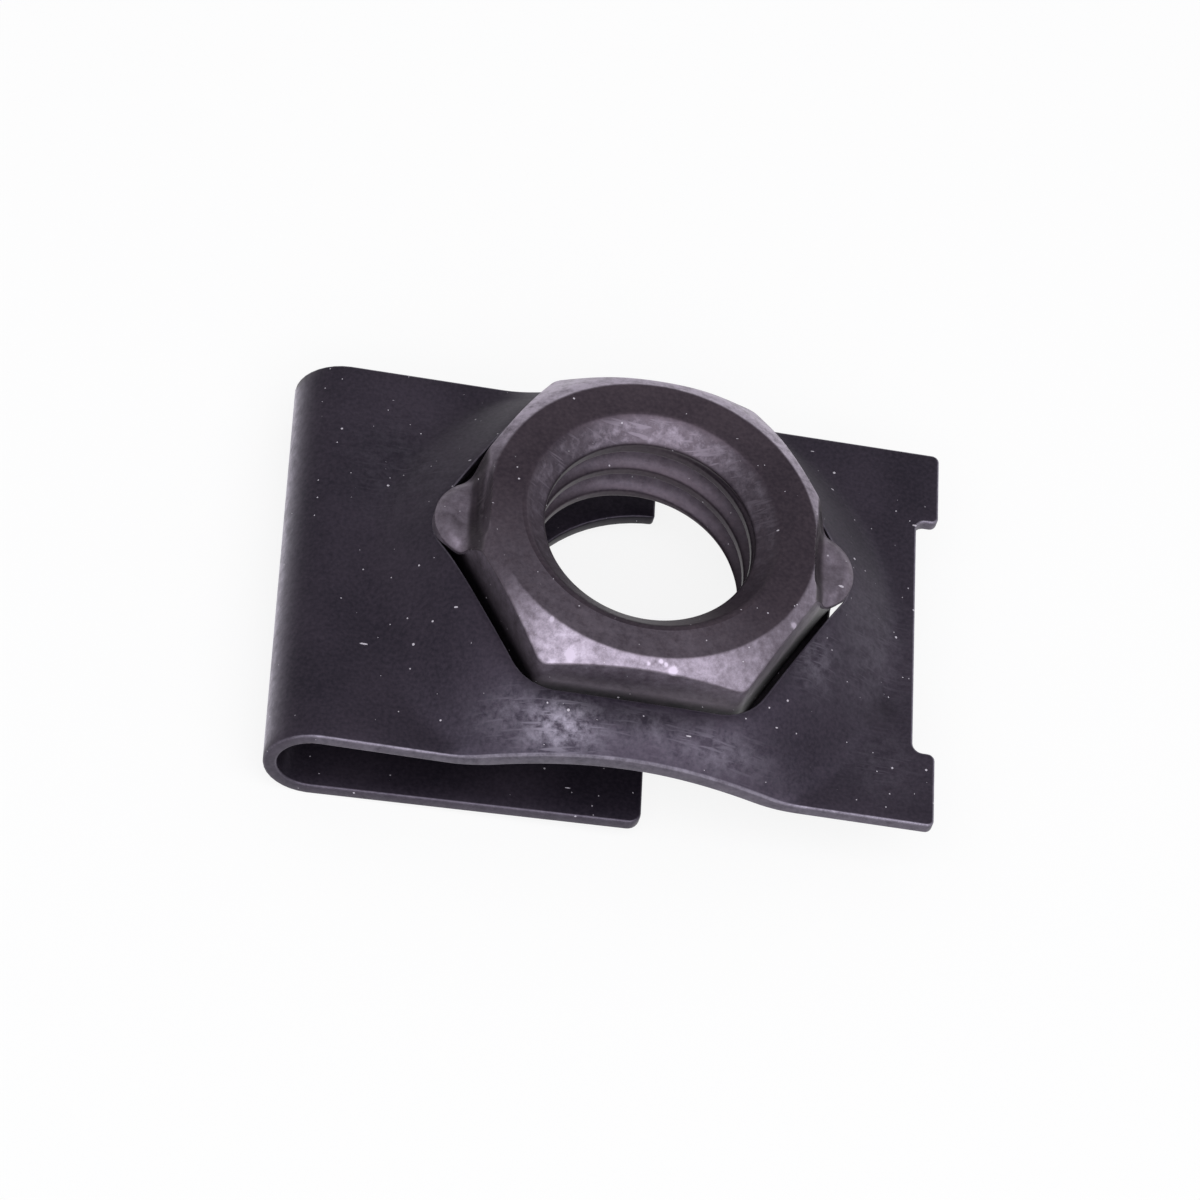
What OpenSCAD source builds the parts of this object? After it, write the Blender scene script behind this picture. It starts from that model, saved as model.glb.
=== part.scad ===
// J nut: a folded spring strip with a hexagon nut staked into its long leg.
// Lengths are in millimetres and angles in degrees.
// Z is the thread axis, and the origin is where the thread starts above the nut's panel face.
// Heights in the modules count from the panel face, which lies lead_h under the origin.
// X runs along the strip from the fold to the eared end.

/* [Strip] */
// Thickness of the sheet
sheet_t = 0.55; // [0.45:0.05:0.7]
// Width of the strip
strip_w = 18; // [17.6:0.1:20]
// Outer radius of the fold
fold_r = 2; // [1.6:0.05:2.6]
// How much the two legs close toward their free ends
leg_close = 3.2; // [0:0.1:5]
// Free end of the short leg, past the thread axis
short_reach = 1.2; // [0:0.1:3]

/* [Raised pad] */
// Height of the pad over the flat of the long leg
pad_h = 2.2; // [1.9:0.05:2.5]
// Radius of the circle where the pad leaves the flat
pad_foot_r = 11; // [10.8:0.1:12]
// Distance of the pad's middle from the middle line of the strip, toward the near edge
pad_shift = 0.4; // [0:0.05:0.6]
// Slope of the pad's flank
pad_angle = 35; // [33:1:42]
// Radius of the crown between flat top and flank
pad_crown_r = 2.5; // [1.5:0.1:3]
// Radius of the hollow between flank and flat
pad_root_r = 1.2; // [0.8:0.1:1.6]
// Flat left between pad and fold
fold_land = 0.85; // [0.2:0.05:2]
// Flat left between pad and end notch
end_land = 0.4; // [0.05:0.05:2]

/* [Free ends] */
// Width of the notch between the two ears
notch_w = 11.2; // [8:0.2:13]
// Depth of the notch, and so the length of the ears
notch_d = 0.9; // [0.6:0.05:2]
// Radius in the two inner corners of the notch
notch_corner_r = 0.4; // [0.1:0.05:0.5]
// Radius on the tips of the ears
ear_corner_r = 0.3; // [0.1:0.05:0.45]
// Radius on the corners of the short leg
leg_corner_r = 0.5; // [0.1:0.05:1]
// Radius of the half-round opening for the bolt in the short leg
bolt_notch_r = 5.8; // [5:0.1:6.6]

/* [Nut] */
// Width across the flats of the hexagon
nut_af = 14; // [13.6:0.1:14.2]
// Height from the panel face to the top ring
nut_h = 4.45; // [4.2:0.05:5.2]
// Radius on the upright edges of the hexagon
nut_edge_r = 0.6; // [0.1:0.05:1]
// Diameter of the flat top ring
ring_d = 13.05; // [12.4:0.05:13.4]
// Slope of the top chamfer
chamfer_angle = 30; // [20:1:40]
// Bore between the thread crests
bore_d = 8.38; // [8:0.02:8.6]
// Mouth of the countersink at the top
mouth_d = 10.1; // [9.6:0.05:10.8]
// Edge break of the bore at the panel face
lead_h = 0.1; // [0.05:0.05:0.6]
// Diameter of the round base under the pad
base_d = 15.8; // [15.4:0.1:16]
// Gap between the round base and the underside of the pad
base_gap = 0.1; // [0.05:0.05:0.4]

/* [Hexagon hole] */
// Gap between the nut and each side of its hole
hole_gap = 0.5; // [0.3:0.05:0.6]
// Radius in the corners of the hole
hole_corner_r = 2.2; // [1:0.1:2.6]
// Sheet left between the hole and the far edge of the strip
far_rail = 0.7; // [0.4:0.05:1.5]

/* [Staked corners] */
// Radius of the metal spread out at each staked corner
stake_r = 1.85; // [1.7:0.05:2.2]
// Overhang of the spread metal over the corner of the hole
stake_lap = 0.08; // [0.05:0.01:0.3]
// Height of the staked metal over the flat top of the pad
stake_h = 0.2; // [0.1:0.05:0.6]
// Chamfer round the staked metal
stake_rim = 0.3; // [0.1:0.05:0.4]
// Lean of the wall that the punch left, from foot to ring
stake_lean = 0.55; // [0.2:0.05:0.9]
// Depth of the punch mark
stake_mark_d = 0.12; // [0.05:0.01:0.2]
// Radius of the punch's round nose
punch_r = 2; // [1.5:0.1:3]
// Gap between the staked metal and the sheet
stake_gap = 0.02; // [0.01:0.01:0.05]

/* [Hidden] */
$fn = 96;
// Straight steps in each rounded part of an outline
arc_steps = 8;
// Overshoot of the cutting shapes
over = 1;
// Flat of the long leg, and flat top of the pad
flat_z = sheet_t;
pad_z = flat_z + pad_h;
// Width of the rising ring of the pad, and where its flat top ends
pad_run = pad_h / tan(pad_angle) + (pad_crown_r + pad_root_r) * tan(pad_angle / 2);
pad_top_r = pad_foot_r - pad_run;
crown_c = [pad_top_r, pad_z - pad_crown_r];
root_c = [pad_foot_r, flat_z + pad_root_r];
// Long leg from fold to ears
fold_x = pad_foot_r + fold_land;
notch_x = pad_foot_r + end_land;
ear_x = notch_x + notch_d;
sheet_reach = ear_x + strip_w;
// Thread axis beside the middle line of the strip, middle of the pad, and axis of the fold
hole_af = nut_af + 2 * hole_gap;
nut_offset = (strip_w - hole_af) / 2 - far_rail;
mid_y = -nut_offset;
pad_y = mid_y - pad_shift;
fold_z = flat_z - fold_r;
// Foot of the short leg at the fold, and its rise to the free end
short_z = fold_z - fold_r;
short_rise = (fold_x + short_reach) * tan(leg_close);
// Hexagon hole and nut
hole_tip = hole_af / sqrt(3) - hole_corner_r * (2 / sqrt(3) - 1);
nut_tip = nut_af / sqrt(3);
chamfer_h = (nut_tip - ring_d / 2) * tan(chamfer_angle);
base_h = pad_under(base_d / 2 + abs(pad_y)) - base_gap;
mouth_h = (mouth_d - bore_d) / 2;
lead_d = bore_d + 2 * lead_h;
// Staked corners
stake_x = hole_tip + stake_lap - stake_r;
stake_z = pad_z + stake_h;
stake_wall_x = ring_d / 2 + stake_lean;
mark_half = sqrt(2 * punch_r * stake_mark_d);

// Points on an arc round a centre
function arc(centre, r, from, to) = [
    for (i = [0:arc_steps])
        let (a = from + (to - from) * i / arc_steps)
            centre + r * [cos(a), sin(a)]
];

// Height of the pad's underside at a distance from the pad's middle
function pad_under(r) =
    let (
        crown = pad_crown_r - sheet_t,
        flank_r = pad_top_r + crown * sin(pad_angle),
        flank_z = crown_c[1] + crown * cos(pad_angle)
    )
    r < pad_top_r ? pad_z - sheet_t :
    r < flank_r ? crown_c[1] + sqrt(crown * crown - pow(r - pad_top_r, 2)) :
    flank_z - (r - flank_r) * tan(pad_angle);

// Upper face of the long leg from the pad's middle outward
pad_over_line = concat(
    [[0, pad_z]],
    arc(crown_c, pad_crown_r, 90, 90 - pad_angle),
    arc(root_c, pad_root_r, 270 - pad_angle, 270),
    [[sheet_reach, flat_z]]
);

// Lower face of the long leg from the outside inward
pad_under_line = concat(
    [[sheet_reach, 0]],
    arc(root_c, pad_root_r + sheet_t, 270, 270 - pad_angle),
    arc(crown_c, pad_crown_r - sheet_t, 90 - pad_angle, 90),
    [[0, pad_z - sheet_t]]
);

// Direction of a vector
function unit(v) = v / norm(v);

// Turn from one direction to another, the short way round
function turn_between(from, to) = (to - from + 900) % 360 - 180;

// Outline through corners given as [x, y, radius], each rounded off
function rounded(corners) = [
    for (i = [0:len(corners) - 1])
        let (
            n = len(corners),
            here = [corners[i][0], corners[i][1]],
            r = corners[i][2],
            back = unit([corners[(i + n - 1) % n][0], corners[(i + n - 1) % n][1]] - here),
            ahead = unit([corners[(i + 1) % n][0], corners[(i + 1) % n][1]] - here),
            half = acos(back * ahead) / 2,
            centre = here + unit(back + ahead) * r / sin(half),
            first = here + back * r / tan(half) - centre,
            last = here + ahead * r / tan(half) - centre,
            start = atan2(first[1], first[0]),
            sweep = turn_between(start, atan2(last[1], last[0]))
        )
        each arc(centre, r, start, start + sweep)
];

// Hexagon with rounded corners, two of them on the X axis
module rounded_hexagon(af, corner_r) {
    tip = af / sqrt(3);
    polygon(rounded([
        for (turn = [0:60:300])
            [tip * cos(turn), tip * sin(turn), corner_r]
    ]));
}

// Long leg seen from above, with the notch between its two ears
module long_plan() {
    half_w = strip_w / 2;
    half_n = notch_w / 2;
    polygon(concat(
        [[-fold_x, half_w], [-fold_x, -half_w]],
        ears_line(half_w, half_n)
    ));
}

// Eared end of the long leg, from the near edge of the strip to the far one
function ears_line(half_w, half_n) =
    let (line = rounded([
        [-fold_x, -half_w, ear_corner_r],
        [ear_x, -half_w, ear_corner_r],
        [ear_x, -half_n, ear_corner_r],
        [notch_x, -half_n, notch_corner_r],
        [notch_x, half_n, notch_corner_r],
        [ear_x, half_n, ear_corner_r],
        [ear_x, half_w, ear_corner_r],
        [-fold_x, half_w, ear_corner_r]
    ]))
    [for (i = [arc_steps + 1:7 * (arc_steps + 1) - 1]) line[i]];

// Short leg seen from above, with the half-round opening for the bolt
module short_plan() {
    half_w = strip_w / 2;
    line = rounded([
        [-fold_x, -half_w, leg_corner_r],
        [short_reach, -half_w, leg_corner_r],
        [short_reach, half_w, leg_corner_r],
        [-fold_x, half_w, leg_corner_r]
    ]);
    difference() {
        polygon(concat(
            [[-fold_x, half_w], [-fold_x, -half_w]],
            [for (i = [arc_steps + 1:3 * (arc_steps + 1) - 1]) line[i]]
        ));
        translate([short_reach, 0])
            circle(bolt_notch_r);
    }
}

// Long leg: flat sheet with the raised pad, the hexagon hole and the ears
module long_leg() {
    difference() {
        intersection() {
            translate([0, pad_y, 0])
                rotate_extrude()
                    polygon(concat(pad_over_line, pad_under_line));
            translate([0, mid_y, -over])
                linear_extrude(pad_z + 2 * over)
                    long_plan();
        }
        linear_extrude(pad_z + over)
            rounded_hexagon(hole_af, hole_corner_r);
    }
}

// Half-round fold that joins the two legs
module fold() {
    translate([-fold_x, mid_y + strip_w / 2, fold_z])
        rotate([90, 0, 0])
            rotate([0, 0, 90])
                rotate_extrude(angle = 180)
                    translate([fold_r - sheet_t, 0])
                        square([sheet_t, strip_w]);
}

// Short leg, sloping toward the long one
module short_leg() {
    intersection() {
        translate([0, mid_y + strip_w / 2, 0])
            rotate([90, 0, 0])
                linear_extrude(strip_w)
                    polygon([
                        [-fold_x, short_z],
                        [short_reach, short_z + short_rise],
                        [short_reach, short_z + short_rise + sheet_t],
                        [-fold_x, short_z + sheet_t]
                    ]);
        translate([0, mid_y, short_z - over])
            linear_extrude(short_rise + sheet_t + 2 * over)
                short_plan();
    }
}

module spring_clip() {
    color("#3a353c")
        translate([0, 0, -lead_h]) {
            long_leg();
            fold();
            short_leg();
        }
}

// Outer shape of the nut before the bore: hexagon under its chamfer, on the round base
module nut_blank() {
    cylinder(h = base_h, d = base_d);
    intersection() {
        linear_extrude(nut_h)
            rounded_hexagon(nut_af, nut_edge_r);
        union() {
            cylinder(h = nut_h - chamfer_h, r = nut_tip);
            translate([0, 0, nut_h - chamfer_h])
                cylinder(h = chamfer_h, r1 = nut_tip, r2 = ring_d / 2);
        }
    }
}

// Room that the punch cleared over one corner of the hexagon
module stake_clearing() {
    rotate([90, 0, 0])
        linear_extrude(nut_af, center = true)
            polygon([
                [stake_wall_x, stake_z],
                [nut_af, stake_z],
                [nut_af, nut_h + over],
                [ring_d / 2, nut_h + over],
                [ring_d / 2, nut_h]
            ]);
}

// Metal that the punch spread over the rim of the hole
module stake_lug() {
    difference() {
        translate([stake_x, 0, base_h]) {
            cylinder(h = stake_z - base_h - stake_rim, r = stake_r);
            translate([0, 0, stake_z - base_h - stake_rim])
                cylinder(h = stake_rim, r1 = stake_r, r2 = stake_r - stake_rim);
        }
        translate([0, pad_y, stake_gap])
            rotate_extrude()
                polygon(concat(pad_over_line, [[sheet_reach, 0], [0, 0]]));
    }
}

// Shallow mark of the punch on the staked metal
module stake_mark() {
    translate([stake_wall_x + mark_half / 2, 0, stake_z + punch_r - stake_mark_d])
        sphere(punch_r);
}

module hex_nut() {
    color("#4a454a")
        translate([0, 0, -lead_h])
            difference() {
                union() {
                    difference() {
                        nut_blank();
                        for (turn = [0, 180])
                            rotate(turn)
                                stake_clearing();
                    }
                    stake_lug();
                    mirror([1, 0, 0])
                        stake_lug();
                }
                for (turn = [0, 180])
                    rotate(turn)
                        stake_mark();
                translate([0, 0, -over])
                    cylinder(h = nut_h + 2 * over, d = bore_d);
                translate([0, 0, nut_h - mouth_h])
                    cylinder(h = mouth_h, d1 = bore_d, d2 = mouth_d);
                cylinder(h = lead_h, d1 = lead_d, d2 = bore_d);
            }
}

spring_clip();
hex_nut();
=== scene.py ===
"""J nut: a folded spring-steel strip with a hexagon nut staked into its long leg.

Sizes are in millimetres and become metres where a mesh is made. Heights in the size block count from
the nut's panel face, as in the part's source, and LEAD_H brings them into the frame.
"""
import math

import bmesh
import bpy
from mathutils import Matrix, Vector
from mathutils.geometry import delaunay_2d_cdt


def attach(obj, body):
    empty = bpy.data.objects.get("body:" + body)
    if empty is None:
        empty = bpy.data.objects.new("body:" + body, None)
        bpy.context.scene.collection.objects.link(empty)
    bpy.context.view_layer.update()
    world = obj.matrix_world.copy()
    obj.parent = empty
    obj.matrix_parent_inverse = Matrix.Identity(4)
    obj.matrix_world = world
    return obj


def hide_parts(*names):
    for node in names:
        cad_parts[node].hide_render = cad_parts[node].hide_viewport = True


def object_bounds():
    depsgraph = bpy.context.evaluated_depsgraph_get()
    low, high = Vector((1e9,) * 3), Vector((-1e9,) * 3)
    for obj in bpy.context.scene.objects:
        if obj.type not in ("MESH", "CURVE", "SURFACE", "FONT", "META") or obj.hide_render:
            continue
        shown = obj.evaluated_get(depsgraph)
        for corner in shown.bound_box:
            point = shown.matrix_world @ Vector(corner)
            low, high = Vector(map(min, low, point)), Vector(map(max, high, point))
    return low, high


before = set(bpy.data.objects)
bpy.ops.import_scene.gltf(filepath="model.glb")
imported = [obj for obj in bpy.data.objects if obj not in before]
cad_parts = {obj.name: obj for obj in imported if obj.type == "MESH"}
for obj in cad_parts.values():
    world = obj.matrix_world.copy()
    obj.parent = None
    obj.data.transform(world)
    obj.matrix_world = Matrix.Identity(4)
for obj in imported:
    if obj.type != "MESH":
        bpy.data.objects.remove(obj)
cad_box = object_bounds()

MM = 0.001
# Points nearer than this, in metres, become one
WELD = 2e-7
# Edges that turn more than this are drawn crisp
SHARP_ANGLE = math.radians(38)

# Strip
SHEET_T, STRIP_W, FOLD_R, LEG_CLOSE, SHORT_REACH = 0.55, 18.0, 2.0, math.radians(3.2), 1.2
# Raised pad
PAD_H, PAD_FOOT_R, PAD_ANGLE = 2.2, 11.0, math.radians(35)
PAD_CROWN_R, PAD_ROOT_R, PAD_SHIFT = 2.5, 1.2, 0.4
# Free ends
FOLD_X, NOTCH_X, EAR_X, NOTCH_W = 11.85, 11.4, 12.3, 11.2
NOTCH_CORNER_R, EAR_CORNER_R, LEG_CORNER_R = 0.4, 0.3, 0.5
BOLT_NOTCH_R, BOLT_CORNER_R = 5.8, 0.15
# Nut and its hole
NUT_AF, NUT_H, NUT_EDGE_R, RING_R, CHAMFER = 14.0, 4.45, 0.6, 6.525, math.radians(30)
BORE_R, MOUTH_R, LEAD_H, BASE_R = 4.19, 5.05, 0.1, 7.9
HOLE_AF, HOLE_CORNER_R, NUT_OFFSET = 15.0, 2.2, 0.8
LEAD_R = BORE_R + LEAD_H
# Staked corners
STAKE_R, STAKE_LAP, STAKE_H, STAKE_RIM, STAKE_LEAN = 1.85, 0.08, 0.2, 0.3, 0.55
MARK_D, PUNCH_R, STAKE_GAP, BASE_GAP = 0.12, 2.0, 0.02, 0.1
# Coarse M10 thread, the ring in which it is cut, and the height over which it runs out
PITCH, MAJOR_R, SLEEVE_R, THREAD_START, RUN_OUT = 1.5, 4.95, 5.25, 0.6, 0.5
# Softened edges: the blanked sheet's roll, the base's break, the countersink's roll
SHEET_EDGE_R, BASE_BREAK, MOUTH_ROLL = 0.1, 0.08, 0.04
# How far the nut's top is eased on the chamfer, and how much more where the punch moved the metal
CHAMFER_EASE, PUNCH_EASE = 0.05, 0.24
# How much lower the far corners of the chamfer are beaten
BEATEN_D = 0.35

MID_Y = -NUT_OFFSET
PAD_Y = MID_Y - PAD_SHIFT
PAD_Z = SHEET_T + PAD_H
PAD_TOP_R = PAD_FOOT_R - PAD_H / math.tan(PAD_ANGLE) - (PAD_CROWN_R + PAD_ROOT_R) * math.tan(PAD_ANGLE / 2)
FOLD_Z = SHEET_T - FOLD_R
SHORT_Z = FOLD_Z - FOLD_R
STAKE_Z = PAD_Z + STAKE_H
HOLE_TIP = HOLE_AF / math.sqrt(3) - HOLE_CORNER_R * (2 / math.sqrt(3) - 1)
STAKE_X = HOLE_TIP + STAKE_LAP - STAKE_R
STAKE_FOOT = RING_R + STAKE_LEAN
# Along the flat blank: length of the fold, start of the short leg and its free end
FOLD_LEN = math.pi * (FOLD_R - SHEET_T / 2)
SHORT_START = -FOLD_X - FOLD_LEN
BLANK_END = SHORT_START - FOLD_X - SHORT_REACH

# Fineness of the sheet: steps along its edges, grid on its faces, and the grid's distance from an edge
EDGE_STEP, SHEET_GRID, GRID_MARGIN = 0.3, 0.36, 0.26
# Fineness of the nut: its sections, points across each, and steps round and along the thread
NUT_SECTIONS, NUT_ACROSS, THREAD_AROUND, THREAD_ALONG = 720, 60, 288, 96

# Node kinds that come up often
MATH, RANGE, NOISE, BLEND = "ShaderNodeMath", "ShaderNodeMapRange", "ShaderNodeTexNoise", "ShaderNodeMix"


def add(tree, kind, inputs=None, **settings):
    """Adds a node with its settings; an input is a value or the socket that feeds it."""
    made = tree.nodes.new(kind)
    for key, value in settings.items():
        setattr(made, key, value)
    for key, value in (inputs or {}).items():
        if isinstance(value, bpy.types.NodeSocket):
            tree.links.new(value, made.inputs[key])
        else:
            made.inputs[key].default_value = value
    return made


def colour(text):
    """Linear colour of an sRGB hex value."""
    parts = [int(text[i:i + 2], 16) / 255 for i in (1, 3, 5)]
    return [c / 12.92 if c <= 0.04045 else ((c + 0.055) / 1.055) ** 2.4 for c in parts] + [1.0]


def eased(share):
    """Soft step from 0 to 1."""
    share = min(1.0, max(0.0, share))
    return share * share * (3 - 2 * share)


# Shape of the sheet

def pad_height(r, below):
    """Height of the long leg's upper face, or of its lower face when below is the sheet's thickness."""
    crown, root = PAD_CROWN_R - below, PAD_ROOT_R + below
    crown_z, root_z = PAD_Z - PAD_CROWN_R, SHEET_T + PAD_ROOT_R
    flank_in = PAD_TOP_R + crown * math.sin(PAD_ANGLE)
    flank_out = PAD_FOOT_R - root * math.sin(PAD_ANGLE)
    if r <= PAD_TOP_R:
        return PAD_Z - below
    if r <= flank_in:
        return crown_z + math.sqrt(crown * crown - (r - PAD_TOP_R) ** 2)
    if r <= flank_out:
        return crown_z + crown * math.cos(PAD_ANGLE) - (r - flank_in) * math.tan(PAD_ANGLE)
    if r <= PAD_FOOT_R:
        return root_z - math.sqrt(max(root * root - (PAD_FOOT_R - r) ** 2, 0.0))
    return SHEET_T - below


def fold_turn(s):
    """Angle round the fold of a point of the flat blank."""
    return (-FOLD_X - s) / (FOLD_R - SHEET_T / 2)


def strip_point(s, y, outer, drop):
    """Place of a point of the flat blank after folding: outer face or inner face, drop under that face."""
    below = 0.0 if outer else SHEET_T
    sink = -drop if outer else drop
    if s >= -FOLD_X:
        return Vector((s, y + MID_Y, pad_height(math.hypot(s, y + PAD_SHIFT), below) + sink))
    if s >= SHORT_START:
        turn = fold_turn(s)
        r = FOLD_R - below + sink
        return Vector((-FOLD_X - r * math.sin(turn), y + MID_Y, FOLD_Z + r * math.cos(turn)))
    run = SHORT_START - s
    return Vector((run - FOLD_X, y + MID_Y, SHORT_Z + run * math.tan(LEG_CLOSE) + below - sink))


def rounded_line(corners, step):
    """Closed outline through corners (x, y, radius), walked in steps no longer than step."""
    dense = []
    count = len(corners)
    for i, (x, y, r) in enumerate(corners):
        here = Vector((x, y))
        back = (Vector(corners[i - 1][:2]) - here).normalized()
        ahead = (Vector(corners[(i + 1) % count][:2]) - here).normalized()
        if r == 0:
            dense.append(here)
            continue
        half = back.angle(ahead) / 2
        centre = here + (back + ahead).normalized() * (r / math.sin(half))
        first = here + back * (r / math.tan(half)) - centre
        last = here + ahead * (r / math.tan(half)) - centre
        sweep = first.angle_signed(last)
        parts = max(6, int(abs(sweep) * r / step) + 1)
        for k in range(parts + 1):
            dense.append(centre + Matrix.Rotation(-sweep * k / parts, 2) @ first)
    line = []
    for a, b in zip(dense, dense[1:] + dense[:1]):
        parts = max(1, int((b - a).length / step + 0.999))
        line += [a.lerp(b, k / parts) for k in range(parts)]
    return [p for i, p in enumerate(line) if (p - line[i - 1]).length > 1e-5]


def blank_outline(step):
    """Outer outline of the flat blank, with the ears at one end and the bolt opening at the other."""
    half_w, half_n, arcs = STRIP_W / 2, NOTCH_W / 2, 40
    corners = [
        (BLANK_END, -half_w, LEG_CORNER_R), (EAR_X, -half_w, EAR_CORNER_R), (EAR_X, -half_n, EAR_CORNER_R),
        (NOTCH_X, -half_n, NOTCH_CORNER_R), (NOTCH_X, half_n, NOTCH_CORNER_R),
        (EAR_X, half_n, EAR_CORNER_R), (EAR_X, half_w, EAR_CORNER_R), (BLANK_END, half_w, LEG_CORNER_R),
        (BLANK_END, BOLT_NOTCH_R, BOLT_CORNER_R)]
    for k in range(1, arcs):
        a = math.pi / 2 - math.pi * k / arcs
        corners.append((BLANK_END + BOLT_NOTCH_R * math.cos(a), BOLT_NOTCH_R * math.sin(a), 0))
    corners.append((BLANK_END, -BOLT_NOTCH_R, BOLT_CORNER_R))
    return rounded_line(corners, step)


def hexagon_line(af, corner_r, step):
    """Outline of a hexagon with rounded corners, one of them on the X axis."""
    tip = af / math.sqrt(3)
    turns = [math.radians(a) for a in range(0, 360, 60)]
    return rounded_line([(tip * math.cos(a), tip * math.sin(a), corner_r) for a in turns], step)


def inward(line, distance):
    """The outline moved to its left, which is into the sheet."""
    moved = []
    for i, p in enumerate(line):
        along = (line[(i + 1) % len(line)] - p).normalized() + (p - line[i - 1]).normalized()
        along.normalize()
        moved.append(p + Vector((-along.y, along.x)) * distance)
    return moved


def inside(p, line):
    """Whether a point lies within a closed outline."""
    hit = False
    for a, b in zip(line, line[1:] + line[:1]):
        if (a.y > p.y) != (b.y > p.y) and p.x < (b.x - a.x) * (p.y - a.y) / (b.y - a.y) + a.x:
            hit = not hit
    return hit


def new_piece(name, verts, faces, material, marks):
    """A piece from points in millimetres, welded, with its marks for the material stored on the points."""
    mesh = bpy.data.meshes.new(name)
    mesh.from_pydata([Vector((v.x, v.y, v.z - LEAD_H)) * MM for v in verts], [], faces)
    for key, values in marks:
        mesh.attributes.new(key, "FLOAT", "POINT").data.foreach_set("value", values)
    mesh.materials.append(material)
    mesh.update()
    made = bmesh.new()
    made.from_mesh(mesh)
    bmesh.ops.remove_doubles(made, verts=made.verts, dist=WELD)
    bmesh.ops.dissolve_degenerate(made, edges=made.edges, dist=WELD)
    bmesh.ops.recalc_face_normals(made, faces=made.faces)
    made.to_mesh(mesh)
    made.free()
    mesh.shade_smooth()
    mesh.set_sharp_from_angle(angle=SHARP_ANGLE)
    piece = bpy.data.objects.new(name, mesh)
    bpy.context.scene.collection.objects.link(piece)
    return piece


# Scuffed places of the clip, of which the broad faint one at x 9.6 is painted sheen, and darker patches
# right of the nut: middle, reach along and across the strip, and strength
SCUFFS_AND_SHEEN = [(-2.8, -8.7, 1.5, 1.0, 0.57), (-4.8, -8.3, 1.2, 0.8, 0.25), (0.4, -8.4, 2.4, 0.8, 0.19),
          (3.4, -8.8, 2.2, 0.8, 0.22), (10.2, -7.2, 1.6, 1.6, 0.1), (-9.5, 3.5, 2.2, 2.6, 0.07),
          (9.6, -2.4, 1.8, 3.2, 0.1), (6.9, -4.1, 1.0, 1.4, 0.24)]
DARK_PATCHES = [(10.2, -4.6, 0.5, 0.6, 0.5), (9.6, -5.2, 0.4, 0.4, 0.35)]
# How far the blanked edges are rubbed: long leg, how much less on the short leg, hexagon hole, bolt opening
LONG_RUB, SHORT_LESS, HOLE_RUB, OPENING_RUB = 0.44, 0.3, 0.24, 0.06
# Painted highlight along the fold's outer face, carried in the rubbed mark: strength, and middle and reach
# as angles round the fold
FOLD_HIGHLIGHT, FOLD_HIGHLIGHT_TURN, FOLD_HIGHLIGHT_REACH = 1.1, 1.65, 0.4
# Oil left in the bolt opening
OPENING_OIL = 0.9


def near_place(v, places):
    """How strongly a point of the long leg's upper side belongs to one of the places."""
    if v.z < SHEET_T / 2:
        return 0.0
    return max(k * math.exp(-((v.x - x) / a) ** 2 - ((v.y - y) / b) ** 2) for x, y, a, b, k in places)


def edge_rub(p, in_hole):
    """How far a blanked edge is rubbed: the long leg's most, the bolt opening's hardly."""
    if in_hole:
        return HOLE_RUB
    if math.hypot(p.x - BLANK_END, p.y) < BOLT_NOTCH_R + 0.3:
        return OPENING_RUB
    return LONG_RUB - SHORT_LESS * eased((-FOLD_X + 1 - p.x) / 3)


def fold_highlight(s):
    """Painted highlight on the outer face round the fold."""
    return FOLD_HIGHLIGHT * math.exp(-((fold_turn(s) - FOLD_HIGHLIGHT_TURN) / FOLD_HIGHLIGHT_REACH) ** 2)


def rolled_edges(outline, hole):
    """Rolled rims of both faces and the walls between them: points, faces and the rubbing of each point."""
    verts, faces, wear_and_highlight, foot_loops = [], [], [], []
    for outer in (True, False):
        for line in (outline, hole):
            loops = []
            for a in [math.radians(turn) for turn in (0, 30, 60, 90)]:
                moved = inward(line, SHEET_EDGE_R * (1 - math.cos(a)))
                loops.append(list(range(len(verts), len(verts) + len(moved))))
                verts += [strip_point(p.x, p.y, outer, SHEET_EDGE_R * (1 - math.sin(a))) for p in moved]
                # The roll is brightest half-way, and its foot keeps some of that
                bright = math.sin(2 * a) + 0.45 * math.cos(a)
                wear_and_highlight += [edge_rub(p, line is hole) * bright for p in moved]
            for low, high in zip(loops, loops[1:]):
                for i in range(len(low)):
                    j = (i + 1) % len(low)
                    faces.append((low[i], low[j], high[j], high[i]))
            foot_loops.append(loops[0])
    for up, down in zip(foot_loops[:2], foot_loops[2:]):
        for i in range(len(up)):
            j = (i + 1) % len(up)
            faces.append((up[i], down[i], down[j], up[j]))
    return verts, faces, wear_and_highlight


def blank_triangles(outline, hole):
    """Points and triangles that fill the flat blank between its rims."""
    rim, hole_rim = inward(outline, SHEET_EDGE_R), inward(hole, SHEET_EDGE_R)
    keep_out, keep_in = inward(outline, GRID_MARGIN), inward(hole, GRID_MARGIN)
    points = rim + hole_rim
    for i in range(int((EAR_X - BLANK_END) / SHEET_GRID)):
        for j in range(int(STRIP_W / SHEET_GRID)):
            s = BLANK_END + (i + 0.5 + 0.5 * (j % 2)) * SHEET_GRID
            p = Vector((s, -STRIP_W / 2 + (j + 0.5) * SHEET_GRID))
            if inside(p, keep_out) and not inside(p, keep_in):
                points.append(p)
    edges = []
    for start, count in ((0, len(rim)), (len(rim), len(hole_rim))):
        edges += [(start + i, start + (i + 1) % count) for i in range(count)]
    flat, _, tris, *_ = delaunay_2d_cdt(points, edges, [], 0, 1e-7)
    assert len(flat) == len(points)
    filled = []
    for t in tris:
        middle = sum((flat[i] for i in t), Vector((0, 0))) / 3
        if inside(middle, rim) and not inside(middle, hole_rim):
            filled.append(t)
    return flat, filled


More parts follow.
